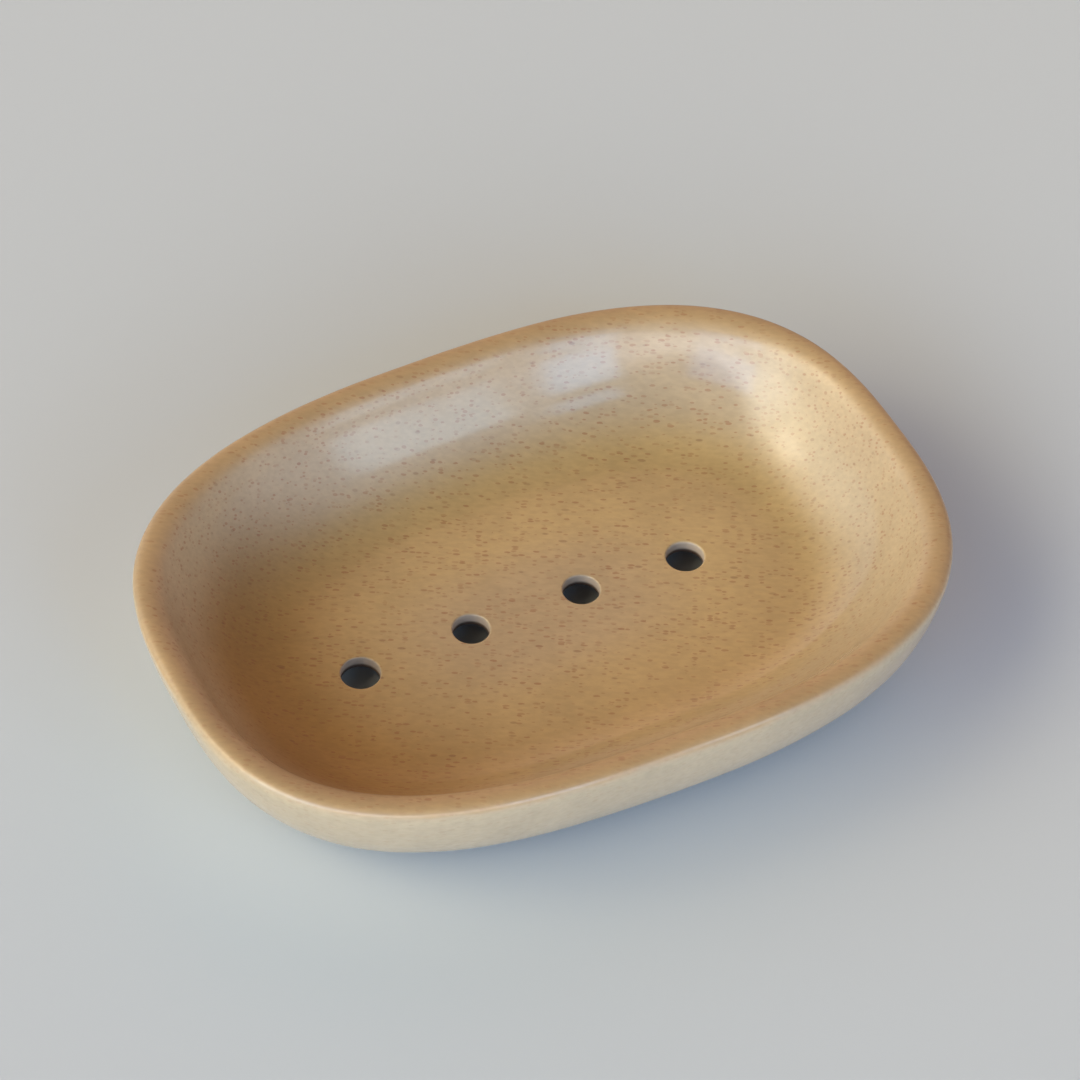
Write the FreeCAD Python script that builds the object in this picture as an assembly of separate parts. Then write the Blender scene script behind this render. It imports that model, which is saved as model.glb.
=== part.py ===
import FreeCAD, Part
import math
import os

# Dish, in millimetres
dish_length = 130.0
dish_width = 93.0
rim_to_floor_depth = 16.5
floor_thickness = 2.7
rim_thickness = 4.5
rim_outer_round = 1.3
rim_inner_round = 3.6
outer_wall_draw_in = 10.8
inner_wall_draw_in = 18.5
# How far the foot of the outer wall lies off the middle of the rim
foot_shift_x = 2.0
foot_shift_y = -1.5

# Where on a quarter turn each wall starts, in degrees: more leans the wall further at the rim
outer_wall_start_angle = 12.0
inner_wall_start_angle = 35.0
# Squareness of the outline: 2 is an ellipse
outline_exponent = 2.74
# One end of the outline is a little broader than the other
broad_end_share = 0.03
# Points and rings that carry the curved faces
points_per_ring = 48
rings_per_wall = 9

# Drain holes, in a row along the dish that lies a little off its middle, its ends a little nearer the front
end_hole_diameter = 6.2
middle_hole_diameter = 5.9
hole_spacing_left = 19.9
hole_spacing_middle = 19.9
hole_spacing_right = 18.7
hole_row_shift_x = -2.3
hole_row_shift_y = 1.9
hole_row_bow = 0.8
hole_top_round = 0.4
hole_bottom_round = 0.4

# Bumper pads stuck to the underside
pad_height = 3.0
pad_top_diameter = 9.5
pad_bottom_diameter = 8.5
pad_bottom_round = 0.6
pad_spacing_x = 72.0
pad_spacing_y = 40.0

# How far a cutting solid runs past the faces that it cuts
cut_overrun = 1.0
# How far from its level an edge may lie and still count as being at that level
level_tolerance = 0.01

# Levels above the table
underside_level = pad_height
floor_level = underside_level + floor_thickness
rim_level = floor_level + rim_to_floor_depth

up = FreeCAD.Vector(0, 0, 1)


# A closed outline round the dish at one level, drawn in from the edge of the rim and moved sideways
def outline_ring(draw_in, level, shift_x, shift_y):
    half_length = dish_length / 2 - draw_in
    half_width = dish_width / 2 - draw_in
    points = []
    for index in range(points_per_ring):
        angle = 2 * math.pi * index / points_per_ring
        along = math.cos(angle)
        across = math.sin(angle)
        reach = (abs(along) ** outline_exponent + abs(across) ** outline_exponent) ** (-1 / outline_exponent)
        swell = 1 + broad_end_share * along * reach
        ring_x = half_length * along * reach + shift_x
        ring_y = half_width * across * reach * swell + shift_y
        points.append(FreeCAD.Vector(ring_x, ring_y, level))
    curve = Part.BSplineCurve()
    curve.interpolate(Points=points, PeriodicFlag=True)
    return Part.Wire([curve.toShape()])


# A solid whose side leans in from its top edge and turns to a flat bottom
def bowl_solid(edge_draw_in, wall_draw_in, start_angle, bottom_level, bottom_shift_x, bottom_shift_y):
    start = math.radians(start_angle)
    rings = []
    for index in range(rings_per_wall):
        angle = start + (math.pi / 2 - start) * index / (rings_per_wall - 1)
        drop_share = (math.sin(angle) - math.sin(start)) / (1 - math.sin(start))
        turn_share = 1 - math.cos(angle) / math.cos(start)
        level = rim_level + (bottom_level - rim_level) * drop_share
        draw_in = edge_draw_in + wall_draw_in * turn_share
        rings.append(outline_ring(draw_in, level, bottom_shift_x * turn_share, bottom_shift_y * turn_share))
    return Part.makeLoft(rings, True, False)


# The edges of a solid that lie flat at one level
def edges_at_level(solid, level):
    found = []
    for edge in solid.Edges:
        lowest = edge.BoundBox.ZMin
        highest = edge.BoundBox.ZMax
        if lowest > level - level_tolerance and highest < level + level_tolerance:
            found.append(edge)
    return found


# The round edges that the drain holes leave at one level
def hole_edges(solid, level):
    return [edge for edge in edges_at_level(solid, level) if isinstance(edge.Curve, Part.Circle)]


# Centre of each drain hole with its diameter
def hole_places():
    middle_y = hole_row_shift_y
    end_y = hole_row_shift_y - hole_row_bow
    holes = [(end_y, end_hole_diameter), (middle_y, middle_hole_diameter),
             (middle_y, middle_hole_diameter), (end_y, end_hole_diameter)]
    spacings = [hole_spacing_left, hole_spacing_middle, hole_spacing_right]
    first_x = hole_row_shift_x - sum(spacings) / 2
    return [(first_x + sum(spacings[:index]), hole_y, diameter) for index, (hole_y, diameter) in enumerate(holes)]


# Fired clay dish: a hollowed bowl with a rounded rim and drain holes with eased edges
def make_dish_body():
    outside = bowl_solid(0, outer_wall_draw_in, outer_wall_start_angle, underside_level, foot_shift_x, foot_shift_y)
    hollow = bowl_solid(rim_thickness, inner_wall_draw_in, inner_wall_start_angle, floor_level, 0, 0)
    dish = outside.cut(hollow)
    inner_rim = min(edges_at_level(dish, rim_level), key=lambda edge: edge.Length)
    dish = dish.makeFillet(rim_inner_round, [inner_rim])
    outer_rim = max(edges_at_level(dish, rim_level), key=lambda edge: edge.Length)
    dish = dish.makeFillet(rim_outer_round, [outer_rim])
    for hole_x, hole_y, diameter in hole_places():
        foot = FreeCAD.Vector(hole_x, hole_y, underside_level - cut_overrun)
        drill = Part.makeCylinder(diameter / 2, floor_thickness + 2 * cut_overrun, foot, up)
        dish = dish.cut(drill)
    dish = dish.makeFillet(hole_top_round, hole_edges(dish, floor_level))
    dish = dish.makeFillet(hole_bottom_round, hole_edges(dish, underside_level))
    return dish


# Silicone bumper: a low tapered button with a rounded foot, its flat top against the underside
def make_pad(centre_x, centre_y):
    foot = FreeCAD.Vector(centre_x, centre_y, underside_level - pad_height)
    pad = Part.makeCone(pad_bottom_diameter / 2, pad_top_diameter / 2, pad_height, foot, up)
    return pad.makeFillet(pad_bottom_round, hole_edges(pad, underside_level - pad_height))


def make_pieces():
    pieces = {"dish_body": make_dish_body()}
    for row_name, row_side in (("front", -1), ("rear", 1)):
        for end_name, end_side in (("left", -1), ("right", 1)):
            centre_x = end_side * pad_spacing_x / 2
            centre_y = row_side * pad_spacing_y / 2
            pieces["foot_pad_" + row_name + "_" + end_name] = make_pad(centre_x, centre_y)
    return pieces


os.makedirs("parts", exist_ok=True)
for name, shape in make_pieces().items():
    shape.exportStep("parts/" + name + ".step")
    print(name, "solids", len(shape.Solids), "volume", round(shape.Volume, 1), "valid", shape.isValid())
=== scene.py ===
import math
import bpy
from mathutils import Matrix, Vector, geometry, noise


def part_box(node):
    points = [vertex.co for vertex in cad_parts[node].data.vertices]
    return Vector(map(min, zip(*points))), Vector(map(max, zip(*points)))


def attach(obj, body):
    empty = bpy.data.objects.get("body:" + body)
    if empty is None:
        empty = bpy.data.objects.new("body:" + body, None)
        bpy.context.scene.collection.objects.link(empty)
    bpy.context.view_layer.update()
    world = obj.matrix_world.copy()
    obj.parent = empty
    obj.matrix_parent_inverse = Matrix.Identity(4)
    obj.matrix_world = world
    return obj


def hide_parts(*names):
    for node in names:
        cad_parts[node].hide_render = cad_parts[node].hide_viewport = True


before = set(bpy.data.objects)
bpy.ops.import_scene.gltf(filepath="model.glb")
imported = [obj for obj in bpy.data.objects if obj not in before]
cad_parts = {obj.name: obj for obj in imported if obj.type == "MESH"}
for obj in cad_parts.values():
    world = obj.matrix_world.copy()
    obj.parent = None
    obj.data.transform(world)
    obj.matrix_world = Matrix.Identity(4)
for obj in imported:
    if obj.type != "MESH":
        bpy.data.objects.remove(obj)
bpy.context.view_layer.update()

mm = 0.001
dishLow, dishHigh = (Vector(corner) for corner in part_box("dish_body"))
print("frame loaded", [round(size / mm, 2) for size in dishHigh - dishLow])

# sizes of the clay dish, in metres, on the levels of its node
dish = dict(
    length=130.0 * mm, width=93.0 * mm,
    undersideLevel=dishLow.z, rimLevel=dishHigh.z,
    rimToFloor=16.5 * mm, footShift=(2.0 * mm, -1.5 * mm),
    rimThickness=4.5 * mm, rimOuterRound=1.3 * mm, rimInnerRound=3.6 * mm,
    outerDrawIn=10.8 * mm, outerStart=12.0, innerDrawIn=18.5 * mm, innerStart=35.0,
    outlineExponent=2.74, broadEndShare=0.03,
    aroundSteps=360, wallSteps=44, roundSteps=12, roundClearance=1.1,
    profileStep=0.4 * mm, profileEasing=0.8 * mm, easingSpan=2.5,
    # the flats: pitch of the grid, its row height, and how far it keeps from the edge and the holes
    floorGrid=1.5 * mm, gridRowShare=0.866, gridEdgeShare=0.985, gridHoleShare=0.6, gridWeld=1e-9,
    # soft unevenness: depth, reach, and how much finer and how strong its second layer is
    wobble=0.16 * mm, wobbleReach=24.0 * mm, wobbleFiner=2.3, wobbleFineShare=0.3, wobbleGain=1.6,
)
# drain holes, in a row a little off the middle
drain = dict(
    endDiameter=6.2 * mm, middleDiameter=5.9 * mm,
    spacings=(19.9 * mm, 19.9 * mm, 18.7 * mm), shiftX=-2.3 * mm, shiftY=1.9 * mm, rowBow=0.8 * mm,
    topRound=0.4 * mm, bottomRound=0.4 * mm, aroundSteps=64, roundSteps=7, wallSteps=5,
)
# painted shade and warm bounce light at one end of the hollow, where its end wall shades the floor's edge:
# how far along the dish it deepens, and how far from the rim it starts and ends, measured over the surface
shadedPool = dict(turn=math.radians(6.0), along=(9.0 * mm, 50.0 * mm),
            starts=(6.0 * mm, 20.0 * mm), ends=(27.0 * mm, 44.0 * mm))


def outlinePoint(drawIn, level, angle, shiftShare):
    along, across = math.cos(angle), math.sin(angle)
    power = dish["outlineExponent"]
    reach = (abs(along) ** power + abs(across) ** power) ** (-1 / power)
    swell = 1 + dish["broadEndShare"] * along * reach
    x = (dish["length"] / 2 - drawIn) * along * reach + dish["footShift"][0] * shiftShare
    y = (dish["width"] / 2 - drawIn) * across * reach * swell + dish["footShift"][1] * shiftShare
    return Vector((x, y, level))


def wallRow(edgeDrawIn, drawIn, startAngle, depth, share):
    # draw-in and drop below the rim of one ring of a wall, share 0 at the rim and 1 at the flat
    start = math.radians(startAngle)
    angle = start + (math.pi / 2 - start) * share
    drop = depth * (math.sin(angle) - math.sin(start)) / (1 - math.sin(start))
    return edgeDrawIn + drawIn * (1 - math.cos(angle) / math.cos(start)), drop


def wallRows(edgeDrawIn, drawIn, startAngle, depth, rounding, side):
    # rings of a wall below its rounded edge, with the lean of the wall there; side 1 outside, -1 inside
    rows = [wallRow(edgeDrawIn, drawIn, startAngle, depth, step / dish["wallSteps"])
            for step in range(dish["wallSteps"] + 1)]
    lean = math.atan2(rows[1][0] - rows[0][0], rows[1][1] - rows[0][1])
    edgeDrop = rounding * (1 + side * math.sin(lean))
    return [row for row in rows if row[1] > edgeDrop * dish["roundClearance"]], lean


def dishProfile():
    # draw-in, drop and share of the foot's shift of each ring, from the foot over the rim to the floor
    height = dish["rimLevel"] - dish["undersideLevel"]
    outerRound, innerRound = dish["rimOuterRound"], dish["rimInnerRound"]
    outside, outerLean = wallRows(0, dish["outerDrawIn"], dish["outerStart"], height, outerRound, 1)
    inside, innerLean = wallRows(dish["rimThickness"], dish["innerDrawIn"], dish["innerStart"],
                                 dish["rimToFloor"], innerRound, -1)
    rows = [(drawIn, drop, drawIn / dish["outerDrawIn"]) for drawIn, drop in reversed(outside)]
    centre = outerRound * (1 + math.sin(outerLean)) / math.cos(outerLean)
    for step in range(dish["roundSteps"] + 1):
        angle = -outerLean + (math.pi / 2 + outerLean) * step / dish["roundSteps"]
        rows.append((centre - outerRound * math.cos(angle), outerRound * (1 - math.sin(angle)), 0))
    centre = dish["rimThickness"] - innerRound * (1 - math.sin(innerLean)) / math.cos(innerLean)
    for step in range(dish["roundSteps"] + 1):
        angle = math.pi / 2 + (innerLean - math.pi / 2) * step / dish["roundSteps"]
        rows.append((centre + innerRound * math.cos(angle), innerRound * (1 - math.sin(angle)), 0))
    return rows + [(drawIn, drop, 0) for drawIn, drop in inside]


def softProfile(profile):
    # the same profile in even steps, its turns eased as a glaze eases them; both ends stay
    step, reach = dish["profileStep"], dish["profileEasing"]
    lengths = [0.0]
    for first, following in zip(profile, profile[1:]):
        lengths.append(lengths[-1] + math.dist(first[:2], following[:2]))
    even, index = [], 0
    count = int(lengths[-1] / step)
    for number in range(count + 1):
        place = lengths[-1] * number / count
        while index < len(profile) - 2 and lengths[index + 1] < place:
            index += 1
        share = (place - lengths[index]) / (lengths[index + 1] - lengths[index])
        even.append(Vector(profile[index]).lerp(Vector(profile[index + 1]), share))
    eased = []
    span = int(dish["easingSpan"] * reach / step)
    for number in range(count + 1):
        width = min(span, number, count - number)
        total = Vector((0, 0, 0))
        weights = 0.0
        for offset in range(-width, width + 1):
            weight = math.exp(-0.5 * (offset * step / reach) ** 2)
            total = total + even[number + offset] * weight
            weights += weight
        eased.append(tuple(total / weights))
    return eased


def profileReach(profile):
    # distance of each ring from the rim's crest along the surface, less than nothing outside
    crest = min(range(len(profile)), key=lambda index: profile[index][1])
    reach = [0.0]
    for (firstIn, firstDrop, _), (nextIn, nextDrop, _) in zip(profile, profile[1:]):
        reach.append(reach[-1] + math.hypot(nextIn - firstIn, nextDrop - firstDrop))
    return [distance - reach[crest] for distance in reach]


def holeList():
    middle = (drain["shiftY"], drain["middleDiameter"] / 2)
    end = (drain["shiftY"] - drain["rowBow"], drain["endDiameter"] / 2)
    holes = [end, middle, middle, end]
    spacings = drain["spacings"]
    firstX = drain["shiftX"] - sum(spacings) / 2
    return [(firstX + sum(spacings[:index]), y, radius) for index, (y, radius) in enumerate(holes)]


def softShare(value, low, high):
    share = max(0.0, min(1.0, (value - low) / (high - low)))
    return share * share * (3 - 2 * share)


def shadedPoolDepth(point, fromRim):
    # painted shade: darker, warmer glaze at the floor's edge at one end, where the end wall shades it
    towards = -(point.x * math.cos(shadedPool["turn"]) + point.y * math.sin(shadedPool["turn"]))
    depth = softShare(fromRim, *shadedPool["starts"]) * (1 - softShare(fromRim, *shadedPool["ends"]))
    return depth * softShare(towards, *shadedPool["along"])


class MeshRows:
    # gathers points, faces and the marks that the glaze reads
    def __init__(self):
        self.points, self.faces, self.marks, self.bare = [], [], [], []

    def add(self, point, fromRim, hole=0.0):
        self.points.append(point)
        self.marks.append((fromRim / mm, hole, shadedPoolDepth(point, fromRim)))
        return len(self.points) - 1

    def band(self, lower, upper):
        count = len(lower)
        for index in range(count):
            following = (index + 1) % count
            self.faces.append((lower[index], lower[following], upper[following], upper[index]))
            self.bare.append(False)


def insideRing(point, ring):
    inside = False
    for index in range(len(ring)):
        first, second = ring[index], ring[index - 1]
        if (first.y > point.y) != (second.y > point.y):
            if point.x < first.x + (point.y - first.y) * (second.x - first.x) / (second.y - first.y):
                inside = not inside
    return inside


def edgeReach(point):
    # about how far a point of the floor lies in from the floor's edge
    edge = dish["rimThickness"] + dish["innerDrawIn"]
    power = dish["outlineExponent"]
    halfLength, halfWidth = dish["length"] / 2 - edge, dish["width"] / 2 - edge
    share = (abs(point.x / halfLength) ** power + abs(point.y / halfWidth) ** power) ** (1 / power)
    return max(0.0, 1 - share) * halfWidth


def fillFlat(rows, outerRing, holeRings, holes, holeMargin, level, facingUp, fromRim):
    # a flat with round holes, on an even grid so that it can carry a soft unevenness
    plan = [rows.points[index].to_2d() for index in outerRing]
    keys = list(outerRing)
    edges = [(index, (index + 1) % len(outerRing)) for index in range(len(outerRing))]
    for ring in holeRings:
        first = len(plan)
        plan += [rows.points[index].to_2d() for index in ring]
        keys += list(ring)
        edges += [(first + index, first + (index + 1) % len(ring)) for index in range(len(ring))]
    outline = plan[:len(outerRing)]
    shrunk = [point * dish["gridEdgeShare"] for point in outline]
    pitch = dish["floorGrid"]
    columns = int(dish["length"] / pitch / 2) + 1
    for row in range(-columns, columns + 1):
        for column in range(-columns, columns + 1):
            point = Vector(((column + 0.5 * (row % 2)) * pitch, row * pitch * dish["gridRowShare"]))
            margin = holeMargin + pitch * dish["gridHoleShare"]
            clear = all((point - Vector((x, y))).length > radius + margin for x, y, radius in holes)
            if clear and insideRing(point, shrunk):
                plan.append(point)
                keys.append(rows.add(point.to_3d() + Vector((0, 0, level)), fromRim + edgeReach(point)))
    made = geometry.delaunay_2d_cdt(plan, edges, [], 0, dish["gridWeld"])
    corners, triangles, origins = made[0], made[2], made[3]
    for triangle in triangles:
        middle = sum((corners[index] for index in triangle), Vector((0, 0))) / 3
        inHole = any((middle - Vector((x, y))).length < radius + holeMargin for x, y, radius in holes)
        if inHole or not insideRing(middle, outline):
            continue
        face = [keys[origins[index][0]] for index in triangle]
        rows.faces.append(tuple(face if facingUp else reversed(face)))
        rows.bare.append(not facingUp)


def holeTube(rows, x, y, radius, fromRim):
    # from the floor over the eased edge, down the wall and out at the underside
    floorLevel = dish["rimLevel"] - dish["rimToFloor"]
    steps = []
    for step in range(drain["roundSteps"] + 1):
        angle = math.pi / 2 * step / drain["roundSteps"]
        easing = drain["topRound"]
        steps.append((radius + easing * (1 - math.sin(angle)), floorLevel - easing * (1 - math.cos(angle))))
    top, bottom = floorLevel - drain["topRound"], dish["undersideLevel"] + drain["bottomRound"]
    for step in range(1, drain["wallSteps"]):
        steps.append((radius, top + (bottom - top) * step / drain["wallSteps"]))
    for step in range(drain["roundSteps"] + 1):
        angle = math.pi / 2 * step / drain["roundSteps"]
        easing = drain["bottomRound"]
        steps.append((radius + easing * (1 - math.cos(angle)), bottom - easing * math.sin(angle)))
    rings = []
    for reach, level in steps:
        depth = (floorLevel - level) / (floorLevel - dish["undersideLevel"])
        ring = []
        for index in range(drain["aroundSteps"]):
            angle = 2 * math.pi * index / drain["aroundSteps"]
            place = Vector((x + reach * math.cos(angle), y + reach * math.sin(angle), level))
            ring.append(rows.add(place, fromRim + edgeReach(place), depth))
        rings.append(ring)
    for upper, lower in zip(rings, rings[1:]):
        rows.band(upper, lower)
    return rings[0], rings[-1]


def softUneven(point):
    # how far the clay lies inside its true shape, as a hand-finished piece does
    place = point / dish["wobbleReach"]
    elsewhere = Vector((7, 3, 1))
    fineShare = dish["wobbleFineShare"]
    broad, fine = noise.noise(place), noise.noise(place * dish["wobbleFiner"] + elsewhere)
    value = (broad * (1 - fineShare) + fine * fineShare) * dish["wobbleGain"]
    return dish["wobble"] * (0.5 + 0.5 * max(-1.0, min(1.0, value)))


def makeDish():
    rows = MeshRows()
    profile = softProfile(dishProfile())
    reaches = profileReach(profile)
    rimLevel = dish["rimLevel"]
    rings = []
    for (drawIn, drop, shiftShare), fromRim in zip(profile, reaches):
        ring = []
        for step in range(dish["aroundSteps"]):
            angle = 2 * math.pi * step / dish["aroundSteps"]
            point = outlinePoint(drawIn, rimLevel - drop, angle, shiftShare)
            ring.append(rows.add(point, fromRim))
        rings.append(ring)
    for lower, upper in zip(rings, rings[1:]):
        rows.band(lower, upper)
    holes = holeList()
    tubes = [holeTube(rows, x, y, radius, reaches[-1]) for x, y, radius in holes]
    fillFlat(rows, rings[-1], [tube[0] for tube in tubes], holes, drain["topRound"],
             rimLevel - dish["rimToFloor"], True, reaches[-1])
    fillFlat(rows, rings[0], [tube[1] for tube in tubes], holes, drain["bottomRound"],
             dish["undersideLevel"], False, reaches[0])
    mesh = bpy.data.meshes.new("stonewareDish")
    mesh.from_pydata([tuple(point) for point in rows.points], [], rows.faces)
    mesh.polygons.foreach_set("use_smooth", [True] * len(mesh.polygons))
    mesh.update()
    normals = [vertex.normal.copy() for vertex in mesh.vertices]
    for vertex, normal in zip(mesh.vertices, normals):
        vertex.co -= normal * softUneven(vertex.co)
    # the third mark carries the painted shade at one end of the hollow
    for number, name in enumerate(("fromRim", "holeMark", "paintedShade")):
        layer = mesh.attributes.new(name, "FLOAT", "POINT")
        layer.data.foreach_set("value", [mark[number] for mark in rows.marks])
    mesh.polygons.foreach_set("material_index", [int(flag) for flag in rows.bare])
    mesh.update()
    piece = bpy.data.objects.new("stonewareDish", mesh)
    bpy.context.collection.objects.link(piece)
    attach(piece, "root")
    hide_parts("dish_body")
    print("dish mesh", len(mesh.vertices), "points", len(mesh.polygons), "faces")
    return piece


# shader helpers
def newMaterial(name):
    material = bpy.data.materials.new(name)
    material.use_nodes = True
    tree = material.node_tree
    tree.nodes.clear()
    output = tree.nodes.new("ShaderNodeOutputMaterial")
    skin = tree.nodes.new("ShaderNodeBsdfPrincipled")
    tree.links.new(skin.outputs["BSDF"], output.inputs["Surface"])
    return material, tree, skin


def addNode(tree, kind, **settings):
    node = tree.nodes.new(kind)
    for name, value in settings.items():
        if hasattr(node, name):
            setattr(node, name, value)
        else:
            node.inputs[name].default_value = value
    return node


def attributeValue(tree, name):
    return addNode(tree, "ShaderNodeAttribute", attribute_name=name).outputs["Fac"]


def feed(tree, socket, value):
    if isinstance(value, (int, float)):
        socket.default_value = value
    elif isinstance(value, tuple):
        socket.default_value = (*value, 1)
    else:
        tree.links.new(value, socket)


def mathNode(tree, operation, *values):
    node = addNode(tree, "ShaderNodeMath", operation=operation)
    for socket, value in zip(node.inputs, values):
        feed(tree, socket, value)
    return node.outputs[0]


def mixColour(tree, factor, first, second, blend="MIX"):
    node = addNode(tree, "ShaderNodeMix", data_type="RGBA", blend_type=blend)
    for socket, value in zip((node.inputs[0], node.inputs[6], node.inputs[7]), (factor, first, second)):
        feed(tree, socket, value)
    return node.outputs[2]


def rampValue(tree, value, low, high, outLow=0.0, outHigh=1.0):
    node = addNode(tree, "ShaderNodeMapRange", interpolation_type="SMOOTHSTEP")
    for name, number in (("Value", value), ("From Min", low), ("From Max", high),
                         ("To Min", outLow), ("To Max", outHigh)):
        feed(tree, node.inputs[name], number)
    return node.outputs[0]


def colourBands(tree, value, bands):
    # colours at given values, blended softly from one to the next
    low, high = bands[0][0], bands[-1][0]
    node = addNode(tree, "ShaderNodeValToRGB")
    node.color_ramp.interpolation = "EASE"
    marks = node.color_ramp.elements
    while len(marks) < len(bands):
        marks.new(1.0)
    for mark, (place, colour) in zip(marks, bands):
        mark.position = (place - low) / (high - low)
        mark.color = (*colour, 1)
    share = addNode(tree, "ShaderNodeMapRange")
    for name, number in (("Value", value), ("From Min", low), ("From Max", high)):
        feed(tree, share.inputs[name], number)
    tree.links.new(share.outputs[0], node.inputs[0])
    return node.outputs[0]


# iron specks: the way they lie, how ragged and soft their edges are, the share of cells left empty,
# and the values that a material starts from
ironSpecks = dict(
    turn=math.radians(29.0), raggedPitch=1500.0, raggedDepth=0.2, edge=(-0.03, 0.09),
    spareShares=dict(Fine=0.38, Large=0.55), smallest=-0.1, faintest=0.35,
    inputs={"Fine Pitch": 1100.0, "Fine Size": 0.3, "Large Pitch": 420.0, "Large Size": 0.2,
            "Cloud Pitch": 60.0, "Stretch": 1.0},
)


def claySpecksGroup():
    # iron specks as two masks, with a cloudy value and a fine grain
    group = bpy.data.node_groups.new("claySpecks", "ShaderNodeTree")
    face = group.interface
    for name, value in ironSpecks["inputs"].items():
        face.new_socket(name, in_out="INPUT", socket_type="NodeSocketFloat").default_value = value
    for name in ("Fine", "Large", "Cloud", "Grain"):
        face.new_socket(name, in_out="OUTPUT", socket_type="NodeSocketFloat")
    inside = group.nodes.new("NodeGroupInput")
    outside = group.nodes.new("NodeGroupOutput")
    place = group.nodes.new("ShaderNodeTexCoord").outputs["Object"]
    # the specks are a little longer one way, as brushed glaze draws them out
    turned = addNode(group, "ShaderNodeVectorRotate", rotation_type="Z_AXIS", Angle=ironSpecks["turn"])
    group.links.new(place, turned.inputs["Vector"])
    drawn = addNode(group, "ShaderNodeVectorMath", operation="DIVIDE")
    group.links.new(turned.outputs[0], drawn.inputs[0])
    stretch = addNode(group, "ShaderNodeCombineXYZ", Y=1.0, Z=1.0)
    group.links.new(inside.outputs["Stretch"], stretch.inputs["X"])
    group.links.new(stretch.outputs[0], drawn.inputs[1])
    long = drawn.outputs[0]
    ragged = addNode(group, "ShaderNodeTexNoise", Scale=ironSpecks["raggedPitch"], Detail=2.0)
    group.links.new(long, ragged.inputs["Vector"])
    unevenness = mathNode(group, "SUBTRACT", ragged.outputs["Fac"], 0.5)
    rough = mathNode(group, "MULTIPLY", unevenness, ironSpecks["raggedDepth"])
    for name, spare in ironSpecks["spareShares"].items():
        cells = addNode(group, "ShaderNodeTexVoronoi", feature="F1", Randomness=1.0)
        group.links.new(long, cells.inputs["Vector"])
        group.links.new(inside.outputs[name + " Pitch"], cells.inputs["Scale"])
        chance = addNode(group, "ShaderNodeSeparateColor")
        group.links.new(cells.outputs["Color"], chance.inputs[0])
        # each cell draws its own size, and a share of them stays empty
        drawnSize = rampValue(group, chance.outputs[0], spare, 1.0, ironSpecks["smallest"], 1.0)
        size = mathNode(group, "MULTIPLY", drawnSize, inside.outputs[name + " Size"])
        body = mathNode(group, "SUBTRACT", size, mathNode(group, "ADD", cells.outputs["Distance"], rough))
        dot = rampValue(group, body, *ironSpecks["edge"])
        faintest = ironSpecks["faintest"]
        strength = mathNode(group, "MULTIPLY_ADD", chance.outputs[1], 1 - faintest, faintest)
        group.links.new(mathNode(group, "MULTIPLY", dot, strength), outside.inputs[name])
    cloud = addNode(group, "ShaderNodeTexNoise", Detail=3.0, Roughness=0.55)
    group.links.new(place, cloud.inputs["Vector"])
    group.links.new(inside.outputs["Cloud Pitch"], cloud.inputs["Scale"])
    group.links.new(cloud.outputs["Fac"], outside.inputs["Cloud"])
    group.links.new(ragged.outputs["Fac"], outside.inputs["Grain"])
    return group


# satin glaze: colours by millimetres from the rim's crest, less than nothing outside
glaze = dict(
    bands=(
        (-5.0, (0.44, 0.345, 0.222)), (-3.2, (0.45, 0.355, 0.226)), (-2.5, (0.44, 0.335, 0.21)),
        (-1.5, (0.39, 0.248, 0.112)), (1.2, (0.39, 0.248, 0.112)), (5.0, (0.405, 0.288, 0.162)),
        (15.0, (0.405, 0.288, 0.158)), (24.0, (0.435, 0.285, 0.112)), (34.0, (0.465, 0.31, 0.128)),
        (46.0, (0.435, 0.30, 0.155)),
    ),
    # the holes' walls from the floor down: pale at the top, near black deeper in, which is painted shade
    holeWallAndShade=((0.0, (0.47, 0.38, 0.29)), (0.55, (0.42, 0.33, 0.25)), (0.75, (0.07, 0.04, 0.025)),
               (1.0, (0.05, 0.03, 0.02))),
    holeEdge=0.12, wander=2.4,
    # painted shade at one end of the hollow: its colour and strength, the duller glaze there and where it is
    # full
    paintedShade=(0.315, 0.146, 0.015), paintedShadeStrength=0.85, shadedPoolRoughness=0.75, shadedPoolFull=0.6,
    speck=(0.26, 0.085, 0.025), darkSpeck=(0.17, 0.06, 0.022),
    finePitch=2100.0, fineSize=0.55, fineStrength=0.55, largePitch=800.0, largeSize=0.25, largeStrength=0.5,
    stretch=2.5, cloudPitch=55.0, cloudDepth=0.08, grainDepth=0.06, cloudSpan=(0.25, 0.75),
    # how the specks fade over the rim, and the coat's weight on either side of it: from, to, weight there
    specksOverRim=(-2.0, 2.0, 0.3, 1.0), coatInside=(0.5, 8.0, 0.25, 1.0), coatOutside=(-0.6, -1.6, 0.0, 0.7),
    roughness=(0.52, 0.62), coatRoughness=0.13, refraction=1.5, specularLevel=0.75,
    peelPitch=700.0, peelSpan=(0.3, 0.7), peelDepth=0.005 * mm,
)


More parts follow.
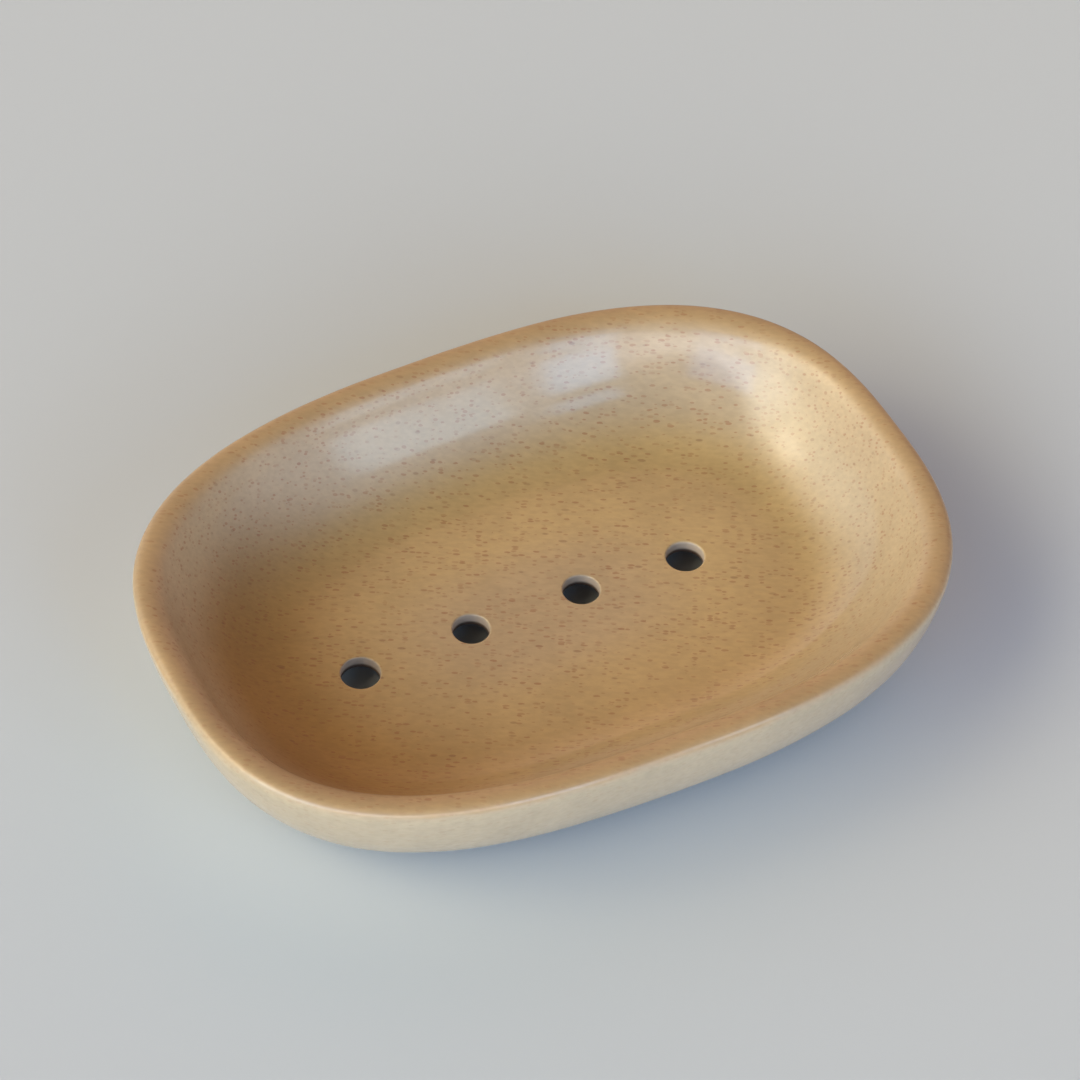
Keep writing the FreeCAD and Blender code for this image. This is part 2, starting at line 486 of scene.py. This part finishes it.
def speckledGlaze(specks):
    material, tree, skin = newMaterial("speckledGlaze")
    dots = addNode(tree, "ShaderNodeGroup", node_tree=specks)
    for name, key in (("Fine Pitch", "finePitch"), ("Fine Size", "fineSize"), ("Large Pitch", "largePitch"),
                      ("Large Size", "largeSize"), ("Cloud Pitch", "cloudPitch"), ("Stretch", "stretch")):
        dots.inputs[name].default_value = glaze[key]
    fromRim, hole = attributeValue(tree, "fromRim"), attributeValue(tree, "holeMark")
    # the colour break at the rim wanders a little
    cloudy = mathNode(tree, "SUBTRACT", dots.outputs["Cloud"], 0.5)
    wander = mathNode(tree, "MULTIPLY", cloudy, glaze["wander"])
    colour = colourBands(tree, mathNode(tree, "ADD", fromRim, wander), glaze["bands"])
    # painted shade and warm bounce light: darker glaze at one end of the floor's edge
    paintedShadeShare = mathNode(tree, "MULTIPLY", attributeValue(tree, "paintedShade"), glaze["paintedShadeStrength"])
    colour = mixColour(tree, paintedShadeShare, colour, glaze["paintedShade"])
    # in the holes the colour follows the depth; the near black lower part is painted shade
    inHole = rampValue(tree, hole, 0.0, glaze["holeEdge"])
    colour = mixColour(tree, inHole, colour, colourBands(tree, hole, glaze["holeWallAndShade"]))
    depth = glaze["cloudDepth"]
    shade = rampValue(tree, dots.outputs["Cloud"], *glaze["cloudSpan"], 1 - depth, 1 + depth)
    depth = glaze["grainDepth"]
    grain = rampValue(tree, dots.outputs["Grain"], *glaze["cloudSpan"], 1 + depth, 1 - depth)
    tone = addNode(tree, "ShaderNodeVectorMath", operation="SCALE")
    tree.links.new(colour, tone.inputs[0])
    tree.links.new(mathNode(tree, "MULTIPLY", shade, grain), tone.inputs["Scale"])
    colour = tone.outputs[0]
    # the specks show most inside, little outside and not in the holes
    inside = rampValue(tree, fromRim, *glaze["specksOverRim"])
    showing = mathNode(tree, "MULTIPLY", inside, mathNode(tree, "SUBTRACT", 1.0, inHole))
    speckKinds = (("Fine", "fineStrength", "speck"), ("Large", "largeStrength", "darkSpeck"))
    for name, key, speckColour in speckKinds:
        strength = mathNode(tree, "MULTIPLY", dots.outputs[name], glaze[key])
        colour = mixColour(tree, mathNode(tree, "MULTIPLY", strength, showing), colour, glaze[speckColour])
    tree.links.new(colour, skin.inputs["Base Color"])
    peel = addNode(tree, "ShaderNodeTexNoise", Scale=glaze["peelPitch"], Detail=2.0)
    tree.links.new(tree.nodes.new("ShaderNodeTexCoord").outputs["Object"], peel.inputs["Vector"])
    satin = rampValue(tree, peel.outputs["Fac"], *glaze["peelSpan"], *glaze["roughness"])
    dulling = mathNode(tree, "SUBTRACT", glaze["shadedPoolRoughness"], satin)
    inShadedPool = rampValue(tree, paintedShadeShare, 0.0, glaze["shadedPoolFull"])
    roughness = mathNode(tree, "MULTIPLY_ADD", dulling, inShadedPool, satin)
    tree.links.new(roughness, skin.inputs["Roughness"])
    # a clear coat over the satin body, thin along the crest and in the painted-shade pool, none in the holes
    sides = mathNode(tree, "MAXIMUM", rampValue(tree, fromRim, *glaze["coatInside"]),
                     rampValue(tree, fromRim, *glaze["coatOutside"]))
    clear = mathNode(tree, "SUBTRACT", 1.0, mathNode(tree, "MAXIMUM", inHole, paintedShadeShare))
    tree.links.new(mathNode(tree, "MULTIPLY", sides, clear), skin.inputs["Coat Weight"])
    skin.inputs["Coat Roughness"].default_value = glaze["coatRoughness"]
    skin.inputs["Coat IOR"].default_value = glaze["refraction"]
    skin.inputs["IOR"].default_value = glaze["refraction"]
    skin.inputs["Specular IOR Level"].default_value = glaze["specularLevel"]
    bump = addNode(tree, "ShaderNodeBump", Strength=1.0, Distance=glaze["peelDepth"])
    tree.links.new(peel.outputs["Fac"], bump.inputs["Height"])
    tree.links.new(bump.outputs["Normal"], skin.inputs["Normal"])
    return material


# bare clay of the underside, kept dark so that little light bounces under the dish and up through the holes:
# partly painted shade
clay = dict(buff=(0.24, 0.155, 0.095), darkBuff=(0.18, 0.115, 0.07), speck=(0.20, 0.10, 0.05),
            speckStrength=0.6, roughness=(0.75, 0.95), grainSpan=(0.3, 0.7), grainDepth=0.05 * mm)


def bareClay(specks):
    material, tree, skin = newMaterial("bareClay")
    dots = addNode(tree, "ShaderNodeGroup", node_tree=specks)
    colour = mixColour(tree, dots.outputs["Cloud"], clay["darkBuff"], clay["buff"])
    strength = mathNode(tree, "MULTIPLY", dots.outputs["Fine"], clay["speckStrength"])
    tree.links.new(mixColour(tree, strength, colour, clay["speck"]), skin.inputs["Base Color"])
    roughness = rampValue(tree, dots.outputs["Grain"], *clay["grainSpan"], *clay["roughness"])
    tree.links.new(roughness, skin.inputs["Roughness"])
    bump = addNode(tree, "ShaderNodeBump", Strength=1.0, Distance=clay["grainDepth"])
    tree.links.new(dots.outputs["Grain"], bump.inputs["Height"])
    tree.links.new(bump.outputs["Normal"], skin.inputs["Normal"])
    return material


# cloudy silicone of the pads
pad = dict(cloudy=(0.70, 0.72, 0.72), milky=(0.78, 0.79, 0.78), roughness=(0.38, 0.55),
           cloudPitch=350.0, cloudSpan=(0.3, 0.7))


def siliconePad():
    material, tree, skin = newMaterial("cloudySilicone")
    cloud = addNode(tree, "ShaderNodeTexNoise", Scale=pad["cloudPitch"], Detail=3.0)
    tree.links.new(tree.nodes.new("ShaderNodeTexCoord").outputs["Object"], cloud.inputs["Vector"])
    colour = mixColour(tree, cloud.outputs["Fac"], pad["cloudy"], pad["milky"])
    tree.links.new(colour, skin.inputs["Base Color"])
    roughness = rampValue(tree, cloud.outputs["Fac"], *pad["cloudSpan"], *pad["roughness"])
    tree.links.new(roughness, skin.inputs["Roughness"])
    return material


# the table and the room's light; shade angles are heights in degrees, dark and clear are widths
studio = dict(
    floor=(0.55, 0.59, 0.615), floorSize=6.0, floorRoughness=0.6, floorSheen=0.25,
    ambient=(0.02, 0.02, 0.02), ceilingShade=(45, 70), lampDistance=1.6,
    darkSide=dict(azimuth=-119, elevation=54, dark=26, clear=42),
)
# where the camera stands, in degrees; azimuth 0 looks along +Y
camera = dict(azimuth=-29.07, elevation=47.95, roll=3.0, distance=0.600, target=(-0.24 * mm, 1.23 * mm),
              lens=126.53, sensor=36.0, clipStart=0.01)


def makeCamera():
    azimuth, elevation, roll = (math.radians(camera[name]) for name in ("azimuth", "elevation", "roll"))
    back = Vector((math.sin(azimuth) * math.cos(elevation), -math.cos(azimuth) * math.cos(elevation),
                   math.sin(elevation)))
    right = Vector((math.cos(azimuth), math.sin(azimuth), 0))
    up = back.cross(right)
    rolledRight = right * math.cos(roll) + up * math.sin(roll)
    rolledUp = up * math.cos(roll) - right * math.sin(roll)
    place = Vector((*camera["target"], dish["rimLevel"])) + back * camera["distance"]
    data = bpy.data.cameras.new("photoCamera")
    data.lens = camera["lens"]
    data.sensor_width = camera["sensor"]
    data.clip_start = camera["clipStart"]
    body = bpy.data.objects.new("photoCamera", data)
    turn = Matrix((rolledRight, rolledUp, back)).transposed().to_4x4()
    body.matrix_world = Matrix.Translation(place) @ turn
    bpy.context.collection.objects.link(body)
    bpy.context.scene.camera = body


def makeFloor():
    half = studio["floorSize"] / 2
    mesh = bpy.data.meshes.new("paleFloor")
    corners = [(-half, -half, 0), (half, -half, 0), (half, half, 0), (-half, half, 0)]
    mesh.from_pydata(corners, [], [(0, 1, 2, 3)])
    floor = bpy.data.objects.new("paleFloor", mesh)
    bpy.context.collection.objects.link(floor)
    material, _, skin = newMaterial("paleTable")
    skin.inputs["Base Color"].default_value = (*studio["floor"], 1)
    skin.inputs["Roughness"].default_value = studio["floorRoughness"]
    skin.inputs["Specular IOR Level"].default_value = studio["floorSheen"]
    mesh.materials.append(material)


# windows and a key lamp, given by the stretch of sky that each fills as seen from the dish;
# level is its brightness, where 1 is a white that looks white, and feather the share of it that fades out
lamps = {
    "keyWindow": dict(azimuth=(142, 172), elevation=(24, 51), feather=0.7, level=(3.2, 2.9, 2.3)),
    "firstPane": dict(azimuth=(-71, -61), elevation=(6, 35), feather=0.2, level=(1.8, 2.8, 3.6)),
    "secondPane": dict(azimuth=(-93, -76), elevation=(8, 31), feather=0.2, level=(0.9, 2.6, 4.6)),
    "sillPane": dict(azimuth=(-93, -72), elevation=(35, 44), feather=0.3, level=(1.0, 2.2, 3.7)),
    "thirdPane": dict(azimuth=(-165, -118), elevation=(15, 37), feather=0.3, level=(0.2, 1.0, 2.6)),
}
# broad soft light from the pale walls of a room, brightest at a direction and gone at width degrees from it
glows = {
    "leftHigh": dict(azimuth=174, elevation=38, width=42, level=(4.2, 3.5, 2.3)),
    "leftLow": dict(azimuth=165, elevation=6, width=42, level=(0.4, 0.7, 0.8)),
    "leftFront": dict(azimuth=215, elevation=20, width=48, level=(2.4, 2.85, 3.2)),
    "leftBack": dict(azimuth=112, elevation=14, width=45, level=(0.8, 0.9, 1.0)),
    "frontWall": dict(azimuth=-75, elevation=14, width=55, level=(1.15, 1.15, 1.3)),
    "frontLow": dict(azimuth=-115, elevation=3, width=48, level=(2.6, 2.3, 2.1)),
    "backWall": dict(azimuth=40, elevation=12, width=75, level=(1.0, 0.6, 0.42)),
}


def featherLamp(data, share):
    # the lamp fades out towards its edges, like a window behind thin cloth
    data.use_nodes = True
    tree = data.node_tree
    half = 0.5
    spot = addNode(tree, "ShaderNodeSeparateXYZ")
    tree.links.new(tree.nodes.new("ShaderNodeNewGeometry").outputs["Parametric"], spot.inputs[0])
    fade = 1.0
    for axis in ("X", "Y"):
        offset = mathNode(tree, "ABSOLUTE", mathNode(tree, "SUBTRACT", spot.outputs[axis], half))
        fade = mathNode(tree, "MULTIPLY", rampValue(tree, offset, half, half - share * half), fade)
    tree.links.new(fade, tree.nodes["Emission"].inputs["Strength"])


def skyDirection(azimuth, elevation):
    azimuth, elevation = math.radians(azimuth), math.radians(elevation)
    return Vector((math.cos(azimuth) * math.cos(elevation), math.sin(azimuth) * math.cos(elevation),
                   math.sin(elevation)))


def makeLamp(name, settings):
    azimuth, elevation = (sum(settings[key]) / 2 for key in ("azimuth", "elevation"))
    spread = math.radians(settings["azimuth"][1] - settings["azimuth"][0]) * math.cos(math.radians(elevation))
    rise = math.radians(settings["elevation"][1] - settings["elevation"][0])
    toward = skyDirection(azimuth, elevation)
    data = bpy.data.lights.new(name, "AREA")
    data.shape = "RECTANGLE"
    data.size = 2 * studio["lampDistance"] * math.tan(spread / 2)
    data.size_y = 2 * studio["lampDistance"] * math.tan(rise / 2)
    brightest = max(settings["level"])
    data.energy = brightest * math.pi * data.size * data.size_y
    data.color = [level / brightest for level in settings["level"]]
    featherLamp(data, settings["feather"])
    body = bpy.data.objects.new(name, data)
    body.location = Vector((0, 0, dish["rimLevel"])) + toward * studio["lampDistance"]
    body.rotation_euler = toward.to_track_quat("Z", "Y").to_euler()
    body.visible_camera = False
    bpy.context.collection.objects.link(body)


def makeWorld():
    world = bpy.data.worlds.new("softRoom")
    world.use_nodes = True
    tree = world.node_tree
    toward = tree.nodes.new("ShaderNodeTexCoord").outputs["Generated"]
    light = studio["ambient"]
    # no light comes from the ceiling
    height = addNode(tree, "ShaderNodeSeparateXYZ")
    tree.links.new(toward, height.inputs[0])
    low, high = (math.sin(math.radians(angle)) for angle in studio["ceilingShade"])
    lit = rampValue(tree, height.outputs["Z"], high, low)
    # and none from high up on the room's dark side
    side = studio["darkSide"]
    away = addNode(tree, "ShaderNodeVectorMath", operation="DOT_PRODUCT")
    tree.links.new(toward, away.inputs[0])
    away.inputs[1].default_value = skyDirection(side["azimuth"], side["elevation"])
    clear, dark = (math.cos(math.radians(side[name])) for name in ("clear", "dark"))
    lit = mathNode(tree, "MULTIPLY", lit, rampValue(tree, away.outputs["Value"], clear, dark, 1.0, 0.0))
    for settings in glows.values():
        facing = addNode(tree, "ShaderNodeVectorMath", operation="DOT_PRODUCT")
        tree.links.new(toward, facing.inputs[0])
        facing.inputs[1].default_value = skyDirection(settings["azimuth"], settings["elevation"])
        glow = rampValue(tree, facing.outputs["Value"], math.cos(math.radians(settings["width"])), 1.0)
        light = mixColour(tree, mathNode(tree, "MULTIPLY", glow, lit), light, settings["level"], "ADD")
    feed(tree, tree.nodes["Background"].inputs["Color"], light)
    bpy.context.scene.world = world


specks = claySpecksGroup()
dishPiece = makeDish()
dishPiece.data.materials.append(speckledGlaze(specks))
dishPiece.data.materials.append(bareClay(specks))
silicone = siliconePad()
for nodeName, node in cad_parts.items():
    if nodeName.startswith("foot_pad"):
        node.data.materials.clear()
        node.data.materials.append(silicone)
print("finishes", [material.name for material in (*dishPiece.data.materials, silicone)])
makeFloor()
makeWorld()
for lampName, lampSettings in lamps.items():
    makeLamp(lampName, lampSettings)
makeCamera()
print("studio with", len(lamps), "lamps")
bpy.context.scene.view_settings.view_transform = "Standard"
